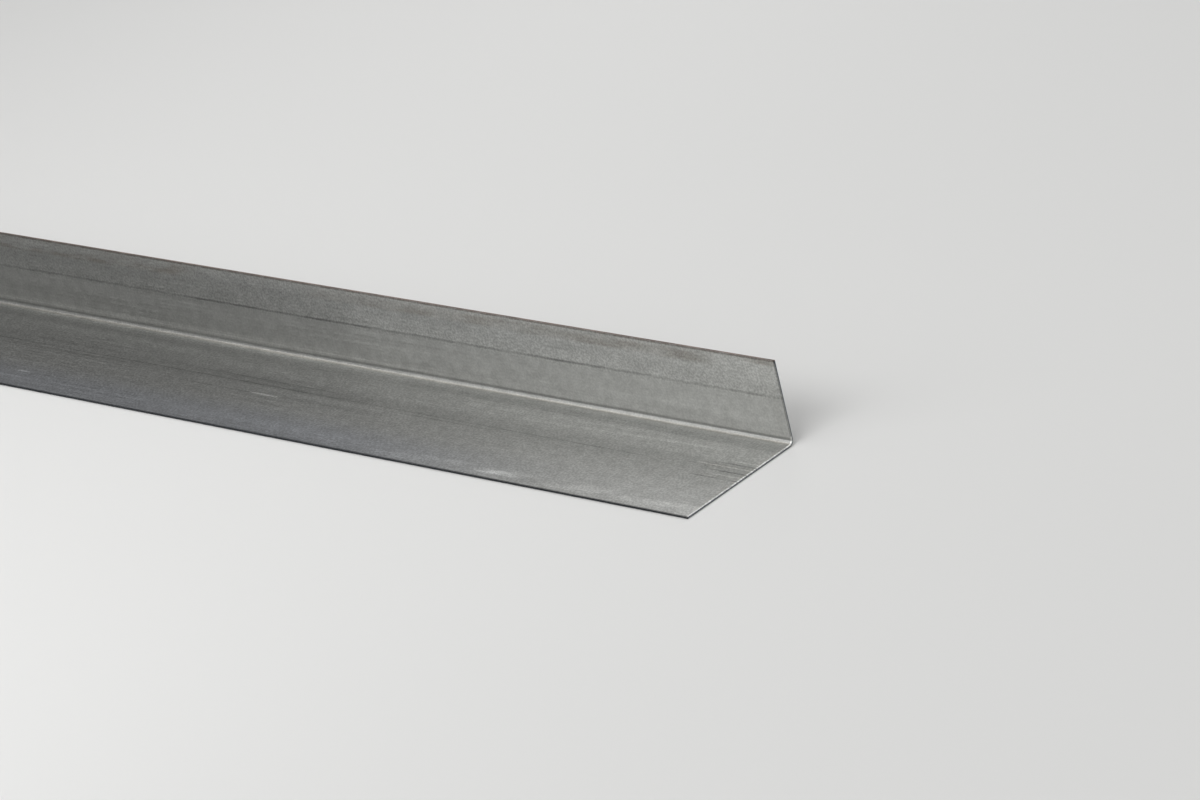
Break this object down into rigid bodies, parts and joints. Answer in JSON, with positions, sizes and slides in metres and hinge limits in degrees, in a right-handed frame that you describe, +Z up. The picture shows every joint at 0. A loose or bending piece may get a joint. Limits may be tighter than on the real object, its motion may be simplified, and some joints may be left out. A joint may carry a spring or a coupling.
{
  "type": "angle profile",
  "caption": "Thin sheet-steel angle profile: a wide and a narrow flange joined by a small rounded bend, for edging, covering or stiffening a corner.",
  "frame": {"origin": "middle of the footprint on the floor: halfway along the length, halfway across the wide flange, on its underside", "axes": "+X along the length, +Y from the wide flange's free edge towards the narrow flange, +Z up along the narrow flange"},
  "size_m": [1, 0.07, 0.04],
  "materials": {
    "galvanised_sheet": "dull hot-dip zinc, temper-rolled, with lengthwise roll marks and bare sheared edges"
  },
  "bodies": {
    "root": {"angle_profile": "galvanised_sheet"}
  },
  "joints": []
}
